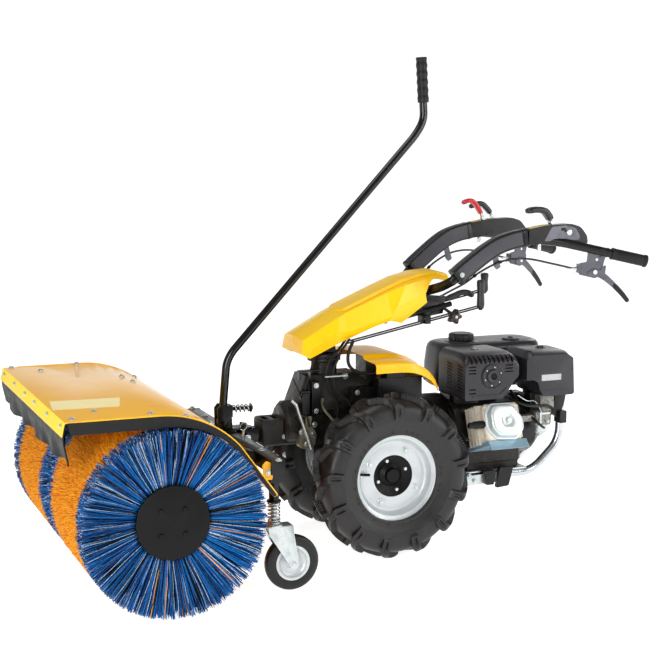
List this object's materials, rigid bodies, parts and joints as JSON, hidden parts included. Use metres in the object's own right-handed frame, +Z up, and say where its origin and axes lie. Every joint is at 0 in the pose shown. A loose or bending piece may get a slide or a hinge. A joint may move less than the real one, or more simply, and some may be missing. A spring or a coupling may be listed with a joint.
{
  "type": "walk-behind rotary brush machine",
  "caption": "Walk-behind tractor with a petrol engine, driven wheels and a hooded rotary sweeping brush on sprung casters.",
  "frame": {"origin": "middle of the machine's bounding box, on the ground", "axes": "+Z up, -X ahead towards the brush, +X back towards the handles, -Y the machine's left side"},
  "size_m": [1.9141, 1.0172, 1.5168],
  "materials": {
    "yellow_paint": "glossy golden-yellow paint on pressed sheet",
    "dark_plastic": "dark grey moulded plastic",
    "black_plastic": "black moulded plastic",
    "black_steel": "black powder coat",
    "cast_aluminium": "sand-cast alloy, partly painted dark",
    "rubber": "black rubber",
    "tyre_rubber": "black tyre rubber",
    "zinc_plate": "zinc-plated steel",
    "silver_steel": "satin silver paint",
    "orange_bristle": "orange polymer strands",
    "blue_bristle": "blue polymer strands",
    "red_plastic": "red moulded plastic",
    "grey_plastic": "dark grey moulded plastic"
  },
  "bodies": {
    "chassis": {"gearbox_case": "cast_aluminium", "fender_cover": "yellow_paint", "crankcase": "cast_aluminium", "cylinder_head": "cast_aluminium", "valve_cover": "zinc_plate", "muffler_guard": "black_steel", "air_cleaner": "dark_plastic", "carburettor": "cast_aluminium", "fuel_tank": "dark_plastic", "recoil_housing": "black_plastic", "engine_foot": "black_steel", "bumper_bar": "zinc_plate", "hitch_tube": "black_steel"},
    "wheel_left": {"rim_left": "silver_steel", "tyre_left": "tyre_rubber"},
    "wheel_right": {"rim_right": "silver_steel", "tyre_right": "tyre_rubber"},
    "cap": {"fuel_cap": "black_plastic"},
    "starter": {"recoil_handle": "black_plastic"},
    "turret": {"handle_turret": "black_steel"},
    "handlebar": {"handle_yoke": "black_steel", "handle_cover": "dark_plastic", "arm_left": "dark_plastic", "arm_right": "dark_plastic", "handle_end_left": "black_plastic", "handle_end_right": "black_plastic", "grip_left": "rubber", "grip_right": "rubber", "cable_left": "rubber", "cable_right": "rubber"},
    "clutch": {"clutch_lever": "grey_plastic"},
    "stop": {"stop_lever": "red_plastic"},
    "throttle": {"throttle_lever": "grey_plastic"},
    "brake_left": {"brake_lever_left": "black_steel"},
    "brake_right": {"brake_lever_right": "black_steel"},
    "gear_selector": {"gear_rod": "black_steel"},
    "drive_selector": {"drive_rod": "black_steel"},
    "height_lock": {"height_lever": "grey_plastic"},
    "carriage": {"brush_frame": "black_steel", "hood": "yellow_paint", "rubber_flap": "rubber", "lever_spring": "zinc_plate"},
    "angle_handle": {"angle_lever": "black_steel", "lever_grip": "rubber"},
    "roll": {"brush_core_left": "black_steel", "brush_core_right": "black_steel", "bristles_end_left": "blue_bristle", "bristles_main_left": "orange_bristle", "bristles_inner_left": "blue_bristle", "bristles_end_right": "blue_bristle", "bristles_main_right": "orange_bristle", "bristles_inner_right": "blue_bristle"},
    "caster_slide_left": {"caster_stem_left": "zinc_plate", "caster_spring_left": "zinc_plate"},
    "caster_yoke_left": {"caster_fork_left": "zinc_plate"},
    "caster_roll_left": {"caster_wheel_left": "rubber"},
    "caster_slide_right": {"caster_stem_right": "zinc_plate", "caster_spring_right": "zinc_plate"},
    "caster_yoke_right": {"caster_fork_right": "zinc_plate"},
    "caster_roll_right": {"caster_wheel_right": "rubber"}
  },
  "joints": [
    {"name": "wheel_left_spin", "type": "hinge", "parent": "chassis", "child": "wheel_left", "pos_m": [0.099, -0.181, 0.252], "axis": [0, 1, 0], "continuous": true},
    {"name": "wheel_right_spin", "type": "hinge", "parent": "chassis", "child": "wheel_right", "pos_m": [0.099, 0.241, 0.252], "axis": [0, 1, 0], "continuous": true},
    {"name": "fuel_cap_turn", "type": "hinge", "parent": "chassis", "child": "cap", "pos_m": [0.491, 0.122, 0.603], "axis": [0, 0, 1], "range_deg": [0, 90]},
    {"name": "starter_pull", "type": "slide", "parent": "chassis", "child": "starter", "axis": [1, 0, 0], "range_m": [0, 0.35], "stiffness_N_per_m": 20, "springref_m": -0.1},
    {"name": "handle_swivel", "type": "hinge", "parent": "chassis", "child": "turret", "pos_m": [-0.036, 0.03, 0.592], "axis": [0, 0, 1], "range_deg": [-30, 30]},
    {"name": "handle_tilt", "type": "hinge", "parent": "turret", "child": "handlebar", "pos_m": [-0.036, 0.03, 0.662], "axis": [0, -1, 0], "range_deg": [-4, 10]},
    {"name": "clutch_press", "type": "hinge", "parent": "handlebar", "child": "clutch", "pos_m": [0.655, -0.158, 1.0053], "axis": [0, -1, 0], "range_deg": [0, 12], "stiffness_Nm_per_rad": 3, "springref_deg": -11.46},
    {"name": "stop_press", "type": "hinge", "parent": "handlebar", "child": "stop", "pos_m": [0.611, 0.206, 1.0015], "axis": [0, -1, 0], "range_deg": [0, 15], "stiffness_Nm_per_rad": 2, "springref_deg": -11.46},
    {"name": "throttle_set", "type": "hinge", "parent": "handlebar", "child": "throttle", "pos_m": [0.661, 0.234, 1.0055], "axis": [0, -1, 0], "range_deg": [-15, 10]},
    {"name": "brake_left_squeeze", "type": "hinge", "parent": "handlebar", "child": "brake_left", "pos_m": [0.78915, -0.20345, 0.848], "axis": [-0.2906, -0.9568, 0], "range_deg": [0, 28], "stiffness_Nm_per_rad": 1.5, "springref_deg": -14.32},
    {"name": "brake_right_squeeze", "type": "hinge", "parent": "handlebar", "child": "brake_right", "pos_m": [0.78915, 0.26345, 0.848], "axis": [0.2906, -0.9568, 0], "range_deg": [0, 28], "stiffness_Nm_per_rad": 1.5, "springref_deg": -14.32},
    {"name": "gear_select", "type": "slide", "parent": "handlebar", "child": "gear_selector", "axis": [0.981, 0, 0.194], "range_m": [-0.03, 0.03]},
    {"name": "drive_select", "type": "slide", "parent": "handlebar", "child": "drive_selector", "axis": [0.9804, 0, 0.1969], "range_m": [-0.03, 0.03]},
    {"name": "height_lock_lift", "type": "hinge", "parent": "handlebar", "child": "height_lock", "pos_m": [0.347, -0.017, 0.757], "axis": [0, -1, 0], "range_deg": [0, 25]},
    {"name": "brush_swing", "type": "hinge", "parent": "chassis", "child": "carriage", "pos_m": [-0.303, 0.03, 0.345], "axis": [0, 0, 1], "range_deg": [-12, 12]},
    {"name": "angle_lever_tilt", "type": "hinge", "parent": "carriage", "child": "angle_handle", "pos_m": [-0.369, 0.03, 0.414], "axis": [0, 1, 0], "range_deg": [0, 5]},
    {"name": "brush_spin", "type": "hinge", "parent": "carriage", "child": "roll", "pos_m": [-0.667, 0, 0.256], "axis": [0, 1, 0], "continuous": true},
    {"name": "caster_travel_left", "type": "slide", "parent": "carriage", "child": "caster_slide_left", "axis": [0, 0, 1], "range_m": [0, 0.03], "stiffness_N_per_m": 8000, "springref_m": -0.05, "deforming": ["caster_spring_left"]},
    {"name": "caster_swivel_left", "type": "hinge", "parent": "caster_slide_left", "child": "caster_yoke_left", "pos_m": [-0.349, -0.37, 0.198], "axis": [0, 0, 1], "range_deg": [-120, 120]},
    {"name": "caster_spin_left", "type": "hinge", "parent": "caster_yoke_left", "child": "caster_roll_left", "pos_m": [-0.297, -0.37, 0.08], "axis": [0, 1, 0], "continuous": true},
    {"name": "caster_travel_right", "type": "slide", "parent": "carriage", "child": "caster_slide_right", "axis": [0, 0, 1], "range_m": [0, 0.03], "stiffness_N_per_m": 8000, "springref_m": -0.05, "deforming": ["caster_spring_right"]},
    {"name": "caster_swivel_right", "type": "hinge", "parent": "caster_slide_right", "child": "caster_yoke_right", "pos_m": [-0.349, 0.37, 0.198], "axis": [0, 0, 1], "range_deg": [-120, 120]},
    {"name": "caster_spin_right", "type": "hinge", "parent": "caster_yoke_right", "child": "caster_roll_right", "pos_m": [-0.297, 0.37, 0.08], "axis": [0, 1, 0], "continuous": true}
  ]
}
